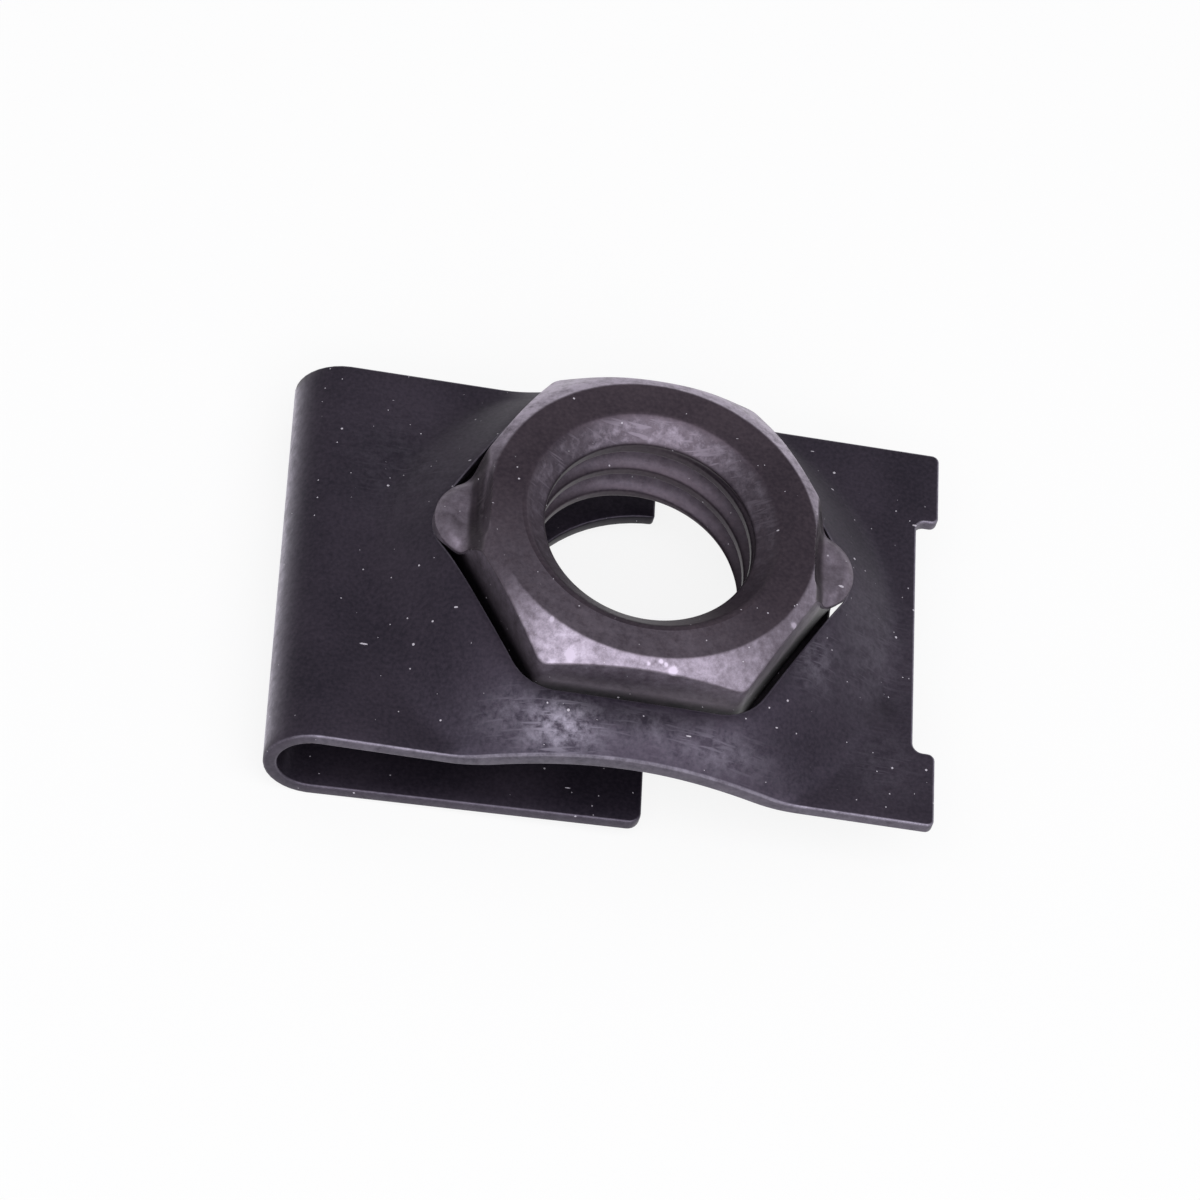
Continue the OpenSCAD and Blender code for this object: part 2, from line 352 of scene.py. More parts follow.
def make_clip(material):
    """The strip as one closed sheet: a triangulated blank, rolled edges and a wall between its two faces."""
    outline = blank_outline(EDGE_STEP)
    hole = [Vector((p.x, p.y + NUT_OFFSET)) for p in hexagon_line(HOLE_AF, HOLE_CORNER_R, EDGE_STEP)]
    hole.reverse()
    verts, faces, wear_and_highlight = rolled_edges(outline, hole)
    flat, tris = blank_triangles(outline, hole)
    for outer in (True, False):
        start = len(verts)
        verts += [strip_point(p.x, p.y, outer, 0.0) for p in flat]
        # The outer face takes the painted highlight round the fold
        wear_and_highlight += [fold_highlight(p.x) if outer else 0.0 for p in flat]
        faces += [tuple(start + i for i in t) for t in tris]
    scuffed_and_sheen = [near_place(v, SCUFFS_AND_SHEEN) for v in verts]
    oil_and_shade = [near_place(v, DARK_PATCHES) for v in verts]
    # The bolt opening keeps its oil
    for i, v in enumerate(verts):
        if v.z < FOLD_Z and math.hypot(v.x - SHORT_REACH, v.y - MID_Y) < BOLT_NOTCH_R + 0.02:
            oil_and_shade[i] = OPENING_OIL
    return new_piece("spring_clip_sheet", verts, faces, material,
                     [("rubbed_and_highlit", wear_and_highlight), ("scuffed_and_sheen", scuffed_and_sheen), ("oil_and_shade", oil_and_shade)])


# Shape of the nut

def hexagon_reach(line, angle):
    """Distance from the axis to an outline in one direction."""
    d = Vector((math.cos(angle), math.sin(angle)))
    best = 0.0
    for a, b in zip(line, line[1:] + line[:1]):
        e = b - a
        det = d.x * -e.y + d.y * e.x
        if abs(det) > 1e-12:
            r = (a.x * -e.y + a.y * e.x) / det
            k = (d.x * a.y - d.y * a.x) / det
            if -1e-9 <= k <= 1 + 1e-9 and r > best:
                best = r
    return best


def nut_top(x, y):
    """Height of the nut's top at a place: ring, chamfer, punched walls, staked metal and punch marks."""
    r = math.hypot(x, y)
    z = NUT_H - max(0.0, r - RING_R) * math.tan(CHAMFER)
    # Wear: the far corners are beaten a little lower
    z -= BEATEN_D * eased((r - 6.9) / 1.2) * eased((y - 2) / 2)
    out = abs(x)
    if out > RING_R:
        wall = STAKE_Z + (STAKE_FOOT - out) / STAKE_LEAN * (NUT_H - STAKE_Z)
        z = min(z, max(wall, STAKE_Z))
        rim = math.hypot(out - STAKE_X, y) - STAKE_R + STAKE_RIM
        if rim > 0 and out > STAKE_FOOT:
            z = min(z, STAKE_Z - rim)
        mark = math.hypot(out - STAKE_FOOT - math.sqrt(2 * PUNCH_R * MARK_D) / 2, y)
        if mark < PUNCH_R:
            z = min(z, STAKE_Z + PUNCH_R - MARK_D - math.sqrt(PUNCH_R ** 2 - mark ** 2))
    return z


def pressed_top(x, y):
    """Top of the nut with its edges eased, as the mean height over a small disc."""
    ease = CHAMFER_EASE + PUNCH_EASE * eased((abs(x) - RING_R + 0.1) / 0.35)
    heights = [nut_top(x, y)]
    for k in range(10):
        a = math.pi * k / 5
        for reach in (1 / 3, 2 / 3, 1):
            heights.append(nut_top(x + ease * reach * math.cos(a), y + ease * reach * math.sin(a)))
    return sum(heights) / len(heights)


# How far the chamfer is rubbed bright, by direction in degrees round the nut: real wear, raised on the far
# side as painted highlight
CHAMFER_RUB_AND_HIGHLIGHT = [(-180, 0.08), (-150, 0.12), (-132, 0.5), (-120, 0.85), (-105, 0.56), (-60, 0.48), (-42, 0.36),
           (0, 0.42), (60, 1.0), (140, 1.0), (165, 0.22), (180, 0.08)]
# Bright nicks in the chamfer, burnished metal with painted glints: place, reach and strength
NICK_GLINTS = [(1.06, -6.87, 0.13, 2.5), (0.53, -6.64, 0.06, 2.0), (0.75, -6.71, 0.06, 2.0),
         (0.08, -6.78, 0.06, 1.2), (-2.96, -6.65, 0.2, 0.9), (-3.81, -5.42, 0.07, 1.8),
         (-3.59, -7.0, 0.14, 0.8), (5.74, -3.91, 0.1, 1.8)]
# How far the top ring is rubbed, and the direction in which it is rubbed most
RING_RUB, RING_RUB_TURN = 0.15, -1.9
# How far the staked lugs are rubbed, and how oily the punched walls are
LUG_RUB, WALL_OIL = 0.3, 0.55
# Rubbed shares of the flats, from under the chamfer to the gap, and the painted shade where they go down
# into the gap: below that they are all painted shade
FLAT_RUB, GAP_RUB, GAP_SHADE = 0.32, 0.2, 0.2
# Painted shade on the base, under the pad
BASE_SHADE = 0.5
# Heights at which the flats turn from oxide to painted shade in the gap
GAP_ROWS = (2.6, 2.15, 1.4)


def chamfer_rub_and_highlight(angle):
    """How bright the chamfer is marked in one direction, by rubbing and painted highlight."""
    degrees = math.degrees(math.remainder(angle, 2 * math.pi))
    for (a, low), (b, high) in zip(CHAMFER_RUB_AND_HIGHLIGHT, CHAMFER_RUB_AND_HIGHLIGHT[1:]):
        if degrees <= b:
            return low + (high - low) * (degrees - a) / (b - a)
    return CHAMFER_RUB_AND_HIGHLIGHT[-1][1]


def nick_glint(x, y):
    """How bright a place is from the nick nearest to it, as burnish and painted glint."""
    return max(k * math.exp(-((x - nx) / n) ** 2 - ((y - ny) / n) ** 2) for nx, ny, n, k in NICK_GLINTS)


def nut_section(a, hexa, base_h):
    """Section of the nut in one direction: points, how bright each is marked by rubbing and painted
    highlight, and how dark by oiling and painted shade.
    """
    ca, sa = math.cos(a), math.sin(a)
    # Staking presses a lug over the sheet
    side = abs(STAKE_X * sa)
    lug = abs(STAKE_X * ca) + math.sqrt(STAKE_R ** 2 - side ** 2) if side < STAKE_R else 0.0
    reach = max(hexa, lug)
    from_rub = abs(math.degrees(math.remainder(a - RING_RUB_TURN, 2 * math.pi)))
    ring_rub = RING_RUB * eased(1.4 - from_rub / 60)
    rows, worn_and_highlit, dark = [], [], []
    for k in range(NUT_ACROSS + 1):
        r = SLEEVE_R + (reach - 0.06 - SLEEVE_R) * k / NUT_ACROSS
        x, y = r * ca, r * sa
        rows.append((r, pressed_top(x, y)))
        on_chamfer = eased((r - RING_R + 0.05) / 0.14)
        pressed = eased((abs(x) - RING_R) / 0.2)
        on_lug = eased((abs(x) - STAKE_FOOT) / 0.25 + 0.5)
        top_rub_and_highlight = chamfer_rub_and_highlight(a) * (1 - pressed) + LUG_RUB * on_lug * pressed
        worn_and_highlit.append(ring_rub * (1 - on_chamfer) + top_rub_and_highlight * on_chamfer + nick_glint(x, y))
        dark.append(WALL_OIL * pressed * (1 - on_lug))
    # Rounded lip, then the flat down to the base
    top = rows[-1][1]
    lap = pad_height(math.hypot(reach * ca, reach * sa - PAD_Y), 0.0) + STAKE_GAP
    under = min(lap if lug > hexa else top - 0.3, top - 0.2)
    rows += [(reach - 0.02, top - 0.03), (reach, top - 0.08), (reach, top - 0.14)]
    rows += [(reach, under), (hexa, under)]
    rows += [(hexa, z) for z in GAP_ROWS] + [(hexa, base_h)]
    worn_and_highlit += [worn_and_highlit[-1] * 0.8, worn_and_highlit[-1] * 0.5] + [FLAT_RUB] * 3 + [GAP_RUB] + [0.0] * 3
    # From the gap down the flats take painted shade
    dark += [dark[-1]] * 2 + [0.0] * 3 + [GAP_SHADE] + [1.0] * 3
    # Round base under the pad
    low = max(BASE_R, hexa)
    base = [(low - BASE_BREAK if low > hexa else low, base_h), (low, base_h - BASE_BREAK), (low, BASE_BREAK),
            (low - BASE_BREAK, 0.0), (SLEEVE_R, 0.0)]
    worn_and_highlit += [0.0] * len(base)
    # The base under the pad takes painted shade
    dark += [BASE_SHADE] * len(base)
    return [Vector((r * ca, r * sa, z)) for r, z in rows + base], worn_and_highlit, dark


def make_nut(material):
    """Hexagon body swept round the axis, one section for each direction; the thread is its own piece."""
    line = hexagon_line(NUT_AF, NUT_EDGE_R, 0.1)
    base_h = pad_height(BASE_R - PAD_Y, SHEET_T) - BASE_GAP
    verts, faces, wear_and_highlight, nut_oil_and_shade = [], [], [], []
    for c in range(NUT_SECTIONS):
        a = 2 * math.pi * c / NUT_SECTIONS
        section, worn_and_highlit, dark = nut_section(a, hexagon_reach(line, a), base_h)
        verts += section
        wear_and_highlight += worn_and_highlit
        nut_oil_and_shade += dark
    rows = len(verts) // NUT_SECTIONS
    for c in range(NUT_SECTIONS):
        d = (c + 1) % NUT_SECTIONS
        for k in range(rows):
            n = (k + 1) % rows
            faces.append((c * rows + k, d * rows + k, d * rows + n, c * rows + n))
    return new_piece("hex_nut_body", verts, faces, material, [("rubbed_and_highlit", wear_and_highlight), ("oil_and_shade", nut_oil_and_shade)])


# Sizes of the thread's rule, by the names of its inputs
THREAD_SIZES = {
    "Height": NUT_H, "Pitch": PITCH, "Minor radius": BORE_R, "Major radius": MAJOR_R,
    "Mouth radius": MOUTH_R, "Lead radius": LEAD_R, "Ring radius": SLEEVE_R, "Drop": LEAD_H,
    "Start turn": THREAD_START, "Fade from": NUT_H - MOUTH_R + BORE_R - RUN_OUT, "Edge roll": MOUTH_ROLL}
# Direction in which the countersink and flanks are painted brightest, as painted highlight; the right wall
# opposite takes painted shade
CONE_LIT_TURN = 1.9
# How strongly the thread is marked: rubbed flanks and scuffed countersink with painted highlight, and
# painted shade on crests and the right wall
THREAD_MARKS = {"rubbed_and_highlit": 0.16, "scuffed_and_sheen": 0.4, "oil_and_shade": 1.0}
# Painted shade on the crests, and on the right wall
CREST_SHADE, RIGHT_WALL_SHADE = 0.3, 0.8


def thread_rule(material):
    """Node group that rolls a grid round the axis into a threaded ring, and the sockets of its sizes."""
    tree = bpy.data.node_groups.new("internal_thread", "GeometryNodeTree")
    tree.interface.new_socket(name="Geometry", in_out="OUTPUT", socket_type="NodeSocketGeometry")
    sockets = {}
    for key in THREAD_SIZES:
        sockets[key] = tree.interface.new_socket(name=key, in_out="INPUT", socket_type="NodeSocketFloat")
    given = add(tree, "NodeGroupInput").outputs
    # The first row and the last two become the ring's outer wall, and the last meets the first
    grid = add(tree, "GeometryNodeMeshGrid", {
        "Size X": 1.0, "Size Y": 1.0, "Vertices X": THREAD_AROUND + 1, "Vertices Y": THREAD_ALONG + 3})
    spot = add(tree, "ShaderNodeSeparateXYZ", {0: add(tree, "GeometryNodeInputPosition").outputs[0]})
    share = add(tree, MATH, {0: spot.outputs[0], 1: 0.5}, operation="ADD").outputs[0]
    angle = add(tree, MATH, {0: share, 1: 2 * math.pi}, operation="MULTIPLY").outputs[0]
    lifted = add(tree, MATH, {0: spot.outputs[1], 1: 0.5}, operation="ADD").outputs[0]
    row = add(tree, MATH, {0: lifted, 1: float(THREAD_ALONG + 2)}, operation="MULTIPLY").outputs[0]
    climb = add(tree, RANGE, {0: row, 1: 1.0, 2: float(THREAD_ALONG), 3: 0.0, 4: 1.0}).outputs[0]
    last = add(tree, MATH, {0: row, 1: THREAD_ALONG + 1.5}, operation="LESS_THAN").outputs[0]
    climb = add(tree, MATH, {0: climb, 1: last}, operation="MULTIPLY").outputs[0]
    height = add(tree, MATH, {0: climb, 1: given["Height"]}, operation="MULTIPLY").outputs[0]
    # Place within the pitch, as the distance from the middle of a crest
    turns = add(tree, MATH, {0: height, 1: given["Pitch"]}, operation="DIVIDE").outputs[0]
    phase = add(tree, MATH, {0: turns, 1: share}, operation="SUBTRACT").outputs[0]
    phase = add(tree, MATH, {0: phase, 1: given["Start turn"]}, operation="ADD").outputs[0]
    phase = add(tree, MATH, {0: phase, 1: 3.0}, operation="ADD").outputs[0]
    phase = add(tree, MATH, {0: phase}, operation="FRACT").outputs[0]
    fold = add(tree, MATH, {0: phase, 1: 0.5}, operation="SUBTRACT").outputs[0]
    fold = add(tree, MATH, {0: fold}, operation="ABSOLUTE").outputs[0]
    # About a quarter of the pitch is crest and an eighth is root; the flanks between them are eased
    groove = add(tree, RANGE, {0: fold, 1: 0.09, 2: 0.46, 3: 0.0, 4: 1.0},
                 interpolation_type="SMOOTHSTEP").outputs[0]
    # The groove runs out just under the countersink
    fade_to = add(tree, MATH, {0: given["Fade from"], 1: RUN_OUT}, operation="ADD").outputs[0]
    fade = add(tree, RANGE, {0: height, 1: given["Fade from"], 2: fade_to, 3: 1.0, 4: 0.0},
               interpolation_type="SMOOTHSTEP").outputs[0]
    groove = add(tree, MATH, {0: groove, 1: fade}, operation="MULTIPLY").outputs[0]
    depth = add(tree, RANGE, {
        0: groove, 1: 0.0, 2: 1.0, 3: given["Minor radius"], 4: given["Major radius"]}).outputs[0]
    fall = add(tree, MATH, {0: given["Height"], 1: height}, operation="SUBTRACT").outputs[0]
    mouth = add(tree, MATH, {0: given["Mouth radius"], 1: fall}, operation="SUBTRACT").outputs[0]
    # The countersink's edge is turned over softly
    edge = add(tree, RANGE, {0: fall, 1: 0.0, 2: 0.15, 3: 1.0, 4: 0.0}).outputs[0]
    edge = add(tree, MATH, {0: edge, 1: 2.0}, operation="POWER").outputs[0]
    edge = add(tree, MATH, {0: edge, 1: given["Edge roll"]}, operation="MULTIPLY").outputs[0]
    mouth = add(tree, MATH, {0: mouth, 1: edge}, operation="ADD").outputs[0]
    lead = add(tree, MATH, {0: given["Lead radius"], 1: height}, operation="SUBTRACT").outputs[0]
    radius = add(tree, MATH, {0: depth, 1: mouth}, operation="MAXIMUM").outputs[0]
    radius = add(tree, MATH, {0: radius, 1: lead}, operation="MAXIMUM").outputs[0]
    off = add(tree, MATH, {0: row, 1: (THREAD_ALONG + 1) / 2}, operation="SUBTRACT").outputs[0]
    off = add(tree, MATH, {0: off}, operation="ABSOLUTE").outputs[0]
    outside = add(tree, MATH, {0: off, 1: THREAD_ALONG / 2}, operation="GREATER_THAN").outputs[0]
    radius = add(tree, "GeometryNodeSwitch", {0: outside, 1: radius, 2: given["Ring radius"]},
                 input_type="FLOAT").outputs[0]
    # Marks for the material: flanks are rubbed and the countersink is scuffed, both with painted highlight
    # towards one side, and crests and the right wall take painted shade
    cone = add(tree, MATH, {0: mouth, 1: depth}, operation="SUBTRACT").outputs[0]
    cone = add(tree, RANGE, {0: cone, 1: 0.0, 2: 0.12, 3: 0.0, 4: 1.0}).outputs[0]
    inner = add(tree, MATH, {0: 1.0, 1: outside}, operation="SUBTRACT").outputs[0]
    cone = add(tree, MATH, {0: cone, 1: inner}, operation="MULTIPLY").outputs[0]
    crest = add(tree, RANGE, {0: groove, 1: 0.03, 2: 0.4, 3: 1.0, 4: 0.0}).outputs[0]
    crest = add(tree, MATH, {0: crest, 1: cone}, operation="SUBTRACT", use_clamp=True).outputs[0]
    crest = add(tree, MATH, {0: crest, 1: inner}, operation="MULTIPLY").outputs[0]
    # Painted highlight by direction: the countersink's scuffs and the flanks' rub are weakest at the right,
    # and the countersink's are missing at its very edge
    lit = add(tree, MATH, {0: angle, 1: CONE_LIT_TURN}, operation="SUBTRACT").outputs[0]
    lit = add(tree, MATH, {0: lit}, operation="COSINE").outputs[0]
    lit = add(tree, RANGE, {0: lit, 1: -1.0, 2: 1.0, 3: 0.1, 4: 1.0}).outputs[0]
    # Painted shade: the crests are darkened, and the right wall of the bore most
    thread_shade = add(tree, MATH, {0: crest, 1: CREST_SHADE}, operation="MULTIPLY").outputs[0]
    wall = add(tree, MATH, {0: inner, 1: cone}, operation="SUBTRACT", use_clamp=True).outputs[0]
    right = add(tree, RANGE, {0: lit, 1: 0.25, 2: 0.65, 3: RIGHT_WALL_SHADE, 4: 0.0}).outputs[0]
    right = add(tree, MATH, {0: right, 1: wall}, operation="MULTIPLY").outputs[0]
    thread_shade = add(tree, MATH, {0: thread_shade, 1: right}, operation="MAXIMUM").outputs[0]
    from_edge = add(tree, RANGE, {0: fall, 1: 0.0, 2: 0.22, 3: 0.0, 4: 1.0}).outputs[0]
    lit = add(tree, MATH, {0: lit, 1: from_edge}, operation="MULTIPLY").outputs[0]
    flank = add(tree, MATH, {0: 1.0, 1: crest}, operation="SUBTRACT").outputs[0]
    flank = add(tree, MATH, {0: flank, 1: inner}, operation="MULTIPLY").outputs[0]
    flank = add(tree, MATH, {0: flank, 1: lit}, operation="MULTIPLY").outputs[0]
    cone = add(tree, MATH, {0: cone, 1: lit}, operation="MULTIPLY").outputs[0]
    marked = grid.outputs[0]
    for key, field in (("rubbed_and_highlit", flank), ("scuffed_and_sheen", cone), ("oil_and_shade", thread_shade)):
        amount = add(tree, MATH, {0: field, 1: THREAD_MARKS[key]}, operation="MULTIPLY").outputs[0]
        marked = add(tree, "GeometryNodeStoreNamedAttribute", {
            "Geometry": marked, "Name": key, "Value": amount}, data_type="FLOAT", domain="POINT").outputs[0]
    cos = add(tree, MATH, {0: angle}, operation="COSINE").outputs[0]
    sin = add(tree, MATH, {0: angle}, operation="SINE").outputs[0]
    place = add(tree, "ShaderNodeCombineXYZ", {
        0: add(tree, MATH, {0: radius, 1: cos}, operation="MULTIPLY").outputs[0],
        1: add(tree, MATH, {0: radius, 1: sin}, operation="MULTIPLY").outputs[0],
        2: add(tree, MATH, {0: height, 1: given["Drop"]}, operation="SUBTRACT").outputs[0]})
    small = add(tree, "ShaderNodeVectorMath", {0: place.outputs[0], "Scale": MM}, operation="SCALE")
    rolled = add(tree, "GeometryNodeSetPosition", {"Geometry": marked, "Position": small.outputs[0]})
    closed = add(tree, "GeometryNodeMergeByDistance", {"Geometry": rolled.outputs[0], "Distance": WELD})
    smooth = add(tree, "GeometryNodeSetShadeSmooth", {"Geometry": closed.outputs[0]})
    real = add(tree, "GeometryNodeRealizeInstances", {"Geometry": smooth.outputs[0]})
    dressed = add(tree, "GeometryNodeSetMaterial", {"Geometry": real.outputs[0], "Material": material})
    add(tree, "NodeGroupOutput", {0: dressed.outputs[0]})
    return tree, sockets


def make_thread(material):
    """Threaded ring of the nut, with a coarse right-hand thread."""
    tree, sockets = thread_rule(material)
    maker = bpy.data.objects.new("thread_maker", bpy.data.meshes.new("thread_maker"))
    bpy.context.scene.collection.objects.link(maker)
    rule = maker.modifiers.new("internal_thread", "NODES")
    rule.node_group = tree
    for key, value in THREAD_SIZES.items():
        rule[sockets[key].identifier] = value
    mesh = bpy.data.meshes.new_from_object(maker.evaluated_get(bpy.context.evaluated_depsgraph_get()))
    maker.modifiers.remove(rule)
    bpy.data.objects.remove(maker)
    made = bmesh.new()
    made.from_mesh(mesh)
    bmesh.ops.recalc_face_normals(made, faces=made.faces)
    made.to_mesh(mesh)
    made.free()
    mesh.set_sharp_from_angle(angle=SHARP_ANGLE)
    piece = bpy.data.objects.new("hex_nut_thread", mesh)
    bpy.context.scene.collection.objects.link(piece)
    return piece


# Materials

# How far the steel mirrors through the oxide film
METAL_SHOWS = 0.7
# Patterns, in cells for each millimetre: tone of the blackening bath, about 4 mm across; crystal grain,
# drawn at 0.15 mm so that it shows; chips of worn oxide, about 0.45 mm; milky haze, about 0.5 mm
BATH, CRYSTAL, CHIPPED, MILKY = 0.25, 6.5, 2.2, 1.9
# Hair scratches: cells 1.1 mm long and 0.11 mm wide, in which a scratch is about half as wide, laid in
# three directions, with a shift for each
HAIR = (0.9, 9.0, 0.9)
HAIR_LAID = ((0.4, 3.1), (1.5, 7.7), (2.5, 12.9))
# Dust: direction, cells for each millimetre and largest grain in a cell, for round grains up to 0.11 mm,
# finer ones up to 0.06 mm, and lint four times as long as wide
DUST = ((0.0, (1.5, 1.5, 1.5), 0.085), (1.3, (2.4, 2.4, 2.4), 0.075), (0.7, (0.38, 1.5, 1.5), 0.07))
# The oil colour also stands for painted shade in the gap, under the pad and in the bore
DUST_COLOUR, OIL_AND_SHADE_COLOUR = "#b9b3bd", "#17141a"


def oxide_steel(name, deep, pale, rubbed_and_highlit, roughness):
    """Blackened steel: a thin violet-black oxide that mirrors softly, turned to grey steel by rubbing where
    touched, with painted highlights in that grey and painted shade in the dark oiling colour.
    """
    made = bpy.data.materials.new(name)
    made.use_nodes = True
    tree = made.node_tree
    tree.nodes.clear()
    spot = add(tree, "ShaderNodeTexCoord").outputs["Object"]
    # Oxide: cloudy tone of the bath, with the crystal grain in it
    cloud = add(tree, NOISE, {"Vector": spot, "Scale": BATH / MM, "Detail": 3.0}).outputs["Fac"]
    grain = add(tree, NOISE, {"Vector": spot, "Scale": CRYSTAL / MM, "Detail": 2.0}).outputs["Fac"]
    tone = add(tree, MATH, {0: cloud, 1: grain}, operation="ADD").outputs[0]
    tone = add(tree, RANGE, {0: tone, 1: 0.7, 2: 1.3}).outputs[0]
    oxide = add(tree, BLEND, {"Factor": tone, 6: colour(deep), 7: colour(pale)}, data_type="RGBA").outputs[2]
    # Rubbed places and painted highlights come from the mesh, broken up by chips
    rub_and_highlight = add(tree, "ShaderNodeAttribute", attribute_name="rubbed_and_highlit").outputs["Fac"]
    chips = add(tree, NOISE, {
        "Vector": spot, "Scale": CHIPPED / MM, "Detail": 6.0, "Roughness": 0.75}).outputs["Fac"]
    chip = add(tree, RANGE, {0: chips, 1: 0.32, 2: 0.68, 3: 0.35, 4: 1.35}).outputs[0]
    worn_and_highlit = add(tree, MATH, {0: rub_and_highlight, 1: chip}, operation="MULTIPLY").outputs[0]
    # Scuffs and painted sheen: milky haze in patches, with hair scratches across it
    haze_and_sheen = add(tree, "ShaderNodeAttribute", attribute_name="scuffed_and_sheen").outputs["Fac"]
    milky = add(tree, NOISE, {
        "Vector": spot, "Scale": MILKY / MM, "Detail": 6.0, "Roughness": 0.7}).outputs["Fac"]
    patchy = add(tree, RANGE, {0: milky, 1: 0.4, 2: 0.7, 3: 0.0, 4: 1.2}).outputs[0]
    for turn, shift in HAIR_LAID:
        laid = add(tree, "ShaderNodeMapping", {
            "Vector": spot, "Location": (shift, 2 * shift, 0.0), "Rotation": (0.0, 0.0, turn),
            "Scale": [side / MM for side in HAIR]})
        hairs = add(tree, NOISE, {"Vector": laid.outputs[0], "Scale": 1.0, "Detail": 0.0}).outputs["Fac"]
        scratch = add(tree, RANGE, {0: hairs, 1: 0.68, 2: 0.76, 3: 0.0, 4: 0.8}).outputs[0]
        patchy = add(tree, MATH, {0: patchy, 1: scratch}, operation="MAXIMUM").outputs[0]
    scuff_and_sheen = add(tree, MATH, {0: haze_and_sheen, 1: patchy}, operation="MULTIPLY", use_clamp=True).outputs[0]
    bare_and_highlit = add(tree, MATH, {0: worn_and_highlit, 1: scuff_and_sheen}, operation="MAXIMUM").outputs[0]
    steel = add(tree, BLEND, {"Factor": bare_and_highlit, 6: oxide, 7: colour(rubbed_and_highlit)}, data_type="RGBA").outputs[2]
    # Oil and painted shade darken the oxide
    oil_and_shade_mark = add(tree, "ShaderNodeAttribute", attribute_name="oil_and_shade").outputs["Fac"]
    blot = add(tree, RANGE, {0: chips, 1: 0.4, 2: 0.6, 3: 0.75, 4: 1.0}).outputs[0]
    oil_and_shade_amount = add(tree, MATH, {0: oil_and_shade_mark, 1: blot}, operation="MULTIPLY").outputs[0]
    steel = add(tree, BLEND, {"Factor": oil_and_shade_amount, 6: steel, 7: colour(OIL_AND_SHADE_COLOUR)}, data_type="RGBA").outputs[2]
    # Pale grains of dust and lint
    dust = 0.0
    for turn, stretch, most in DUST:
        laid = add(tree, "ShaderNodeMapping", {
            "Vector": spot, "Rotation": (0.0, 0.0, turn), "Scale": [side / MM for side in stretch]})
        cells = add(tree, "ShaderNodeTexVoronoi", {
            "Vector": laid.outputs[0], "Scale": 1.0, "Randomness": 1.0}).outputs
        pick = add(tree, "ShaderNodeSeparateColor", {0: cells["Color"]}).outputs[0]
        size = add(tree, RANGE, {0: pick, 1: 0.35, 2: 1.0, 3: 0.0, 4: most}).outputs[0]
        grains = add(tree, MATH, {0: size, 1: cells["Distance"]}, operation="GREATER_THAN").outputs[0]
        dust = add(tree, MATH, {0: grains, 1: dust}, operation="MAXIMUM").outputs[0]
    skin = add(tree, BLEND, {"Factor": dust, 6: steel, 7: colour(DUST_COLOUR)}, data_type="RGBA").outputs[2]
    # The oxide film scatters part of the light, and dust scatters all of it
    metal = add(tree, RANGE, {0: dust, 1: 0.0, 2: 1.0, 3: METAL_SHOWS, 4: 0.0}).outputs[0]
    satin = add(tree, RANGE, {
        0: cloud, 1: 0.3, 2: 0.7, 3: roughness - 0.04, 4: roughness + 0.05}).outputs[0]
    relief = add(tree, "ShaderNodeBump", {"Strength": 0.1, "Distance": 0.00003, "Height": grain}).outputs[0]
    shader = add(tree, "ShaderNodeBsdfPrincipled", {
        "Base Color": skin, "Metallic": metal, "Roughness": satin, "Normal": relief})
    add(tree, "ShaderNodeOutputMaterial", {"Surface": shader.outputs[0]})
    return made


# The clip's oxide is a violet black with a satin sheen, and its blanked edges are grey steel
clip_skin = oxide_steel("blackened_spring_steel", "#2d2834", "#433b48", "#aea7b7", 0.43)
# The nut's oxide is a little browner, and its chamfer is rubbed back to grey steel, with painted highlight
# on the far side
nut_skin = oxide_steel("blackened_nut_steel", "#3a313b", "#50454e", "#bdb2c3", 0.42)

clip = make_clip(clip_skin)
nut = make_nut(nut_skin)
thread = make_thread(nut_skin)
for piece, node in ((clip, "spring_clip"), (nut, "hex_nut"), (thread, "hex_nut")):
    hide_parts(node)
    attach(piece, "root")

# Stage

# Half width of the floor in metres, how white it looks to the camera, and the light of the room
FLOOR_HALF, FLOOR_WHITE, ROOM_LIGHT = 3, 0.86, 0.42
WHITE = (1.0, 1.0, 1.0, 1.0)

floor_mesh = bpy.data.meshes.new("floor")
low = cad_box[0][2]
floor_corners = [(x * FLOOR_HALF, y * FLOOR_HALF, low) for x, y in ((-1, -1), (1, -1), (1, 1), (-1, 1))]
floor_mesh.from_pydata(floor_corners, [], [(0, 1, 2, 3)])
floor = bpy.data.objects.new("floor", floor_mesh)
bpy.context.scene.collection.objects.link(floor)
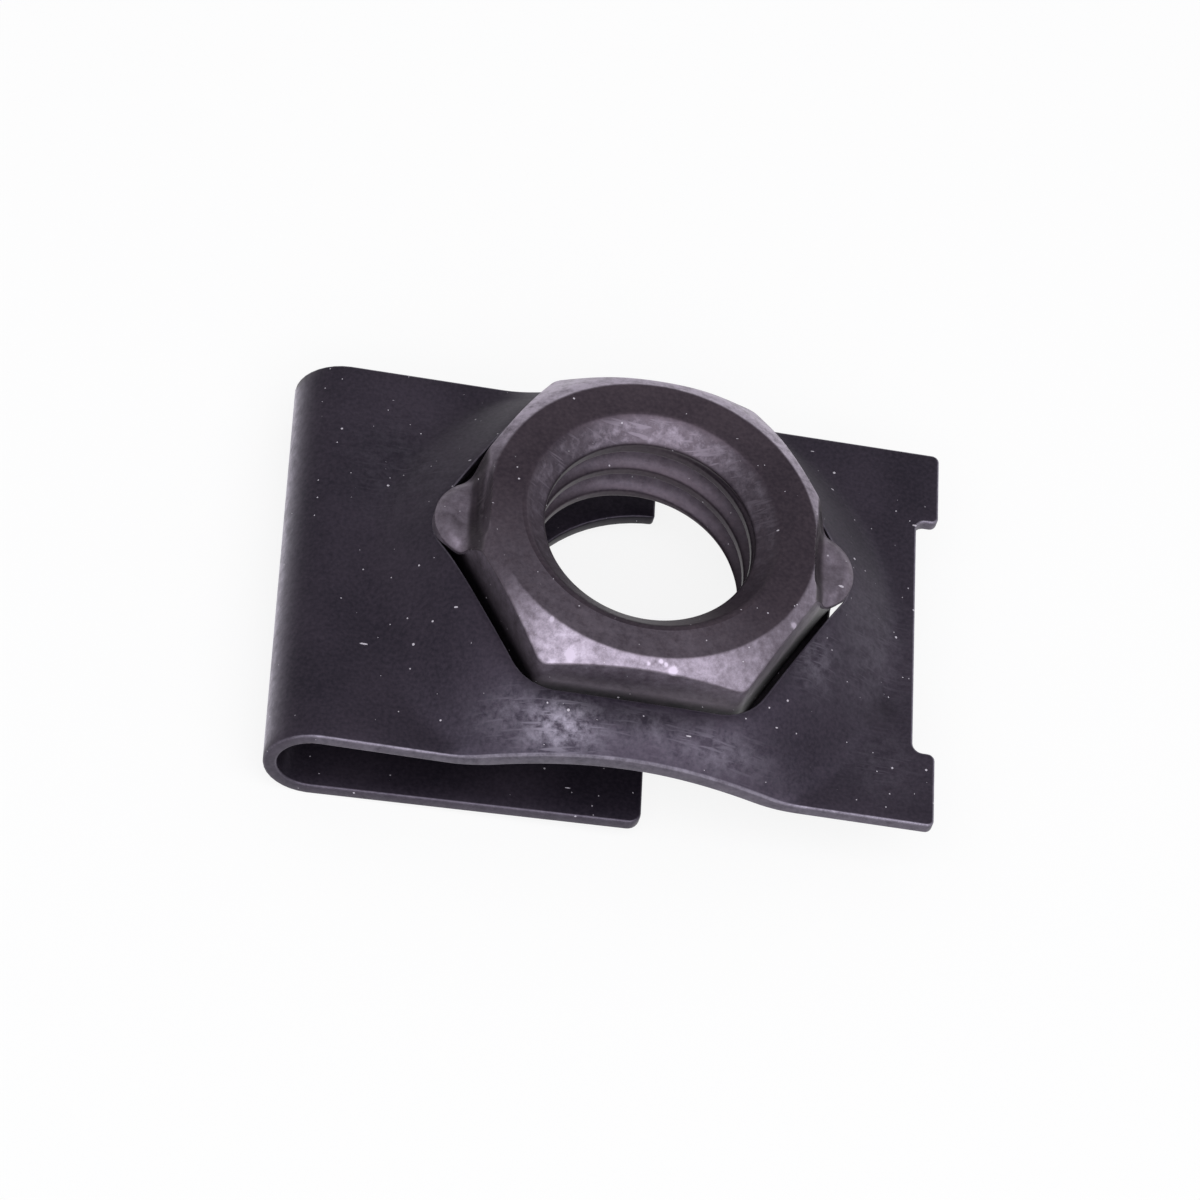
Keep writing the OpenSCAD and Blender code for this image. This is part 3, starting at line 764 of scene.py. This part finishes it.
# White paper: matt under the lamps, and mostly plain white to the camera and in the steel
paper = bpy.data.materials.new("white_paper")
paper.use_nodes = True
tree = paper.node_tree
tree.nodes.clear()
path = add(tree, "ShaderNodeLightPath").outputs
matt = add(tree, "ShaderNodeBsdfDiffuse", {"Color": colour("#f4f4f4")}).outputs[0]
white = add(tree, "ShaderNodeEmission", {"Color": WHITE, "Strength": 1.0}).outputs[0]
seen = add(tree, MATH, {0: path["Is Camera Ray"], 1: path["Is Glossy Ray"]}, operation="MAXIMUM").outputs[0]
seen = add(tree, MATH, {0: seen, 1: path["Is Transmission Ray"]}, operation="MAXIMUM").outputs[0]
share = add(tree, MATH, {0: seen, 1: FLOOR_WHITE}, operation="MULTIPLY").outputs[0]
mixed = add(tree, "ShaderNodeMixShader", {0: share, 1: matt, 2: white})
add(tree, "ShaderNodeOutputMaterial", {"Surface": mixed.outputs[0]})
floor_mesh.materials.append(paper)

world = bpy.data.worlds.new("studio")
bpy.context.scene.world = world
world.use_nodes = True
tree = world.node_tree
tree.nodes.clear()
room = add(tree, "ShaderNodeBackground", {"Color": WHITE, "Strength": ROOM_LIGHT})
add(tree, "ShaderNodeOutputWorld", {"Surface": room.outputs[0]})


def soft_lamp(name, place, width, depth, power):
    """Softbox that faces the nut; place and size are in metres."""
    data = bpy.data.lights.new(name, "AREA")
    data.shape = "RECTANGLE"
    data.size = width
    data.size_y = depth
    data.energy = power
    data.color = (0.96, 0.96, 1.0)
    lamp = bpy.data.objects.new(name, data)
    lamp.location = place
    lamp.rotation_euler = (-Vector(place)).to_track_quat("-Z", "Y").to_euler()
    bpy.context.scene.collection.objects.link(lamp)


soft_lamp("overhead_softbox", (0.03, -0.24, 0.44), 0.8, 0.4, 2.1)
soft_lamp("front_softbox", (0.05, -0.5, 0.35), 0.6, 0.25, 0.7)
soft_lamp("right_fill", (0.45, 0.33, 0.2), 0.45, 0.4, 0.25)

# Camera, as the fit to the photo found it

view = bpy.data.cameras.new("photo_view")
view.lens = 191.2428
view.sensor_width = 36.0
view.clip_start = 0.01
camera = bpy.data.objects.new("photo_view", view)
bpy.context.scene.collection.objects.link(camera)
stand = Vector((-35.1572, -147.0897, 202.0946)) * MM
right = Vector((0.979915, 0.042234, 0.194894))
up = Vector((-0.147009, 0.813348, 0.562897))
back = Vector((-0.134744, -0.580242, 0.803221))
camera.matrix_world = Matrix.LocRotScale(stand, Matrix((right, up, back)).transposed(), None)
bpy.context.scene.camera = camera
bpy.context.scene.view_settings.view_transform = "Standard"
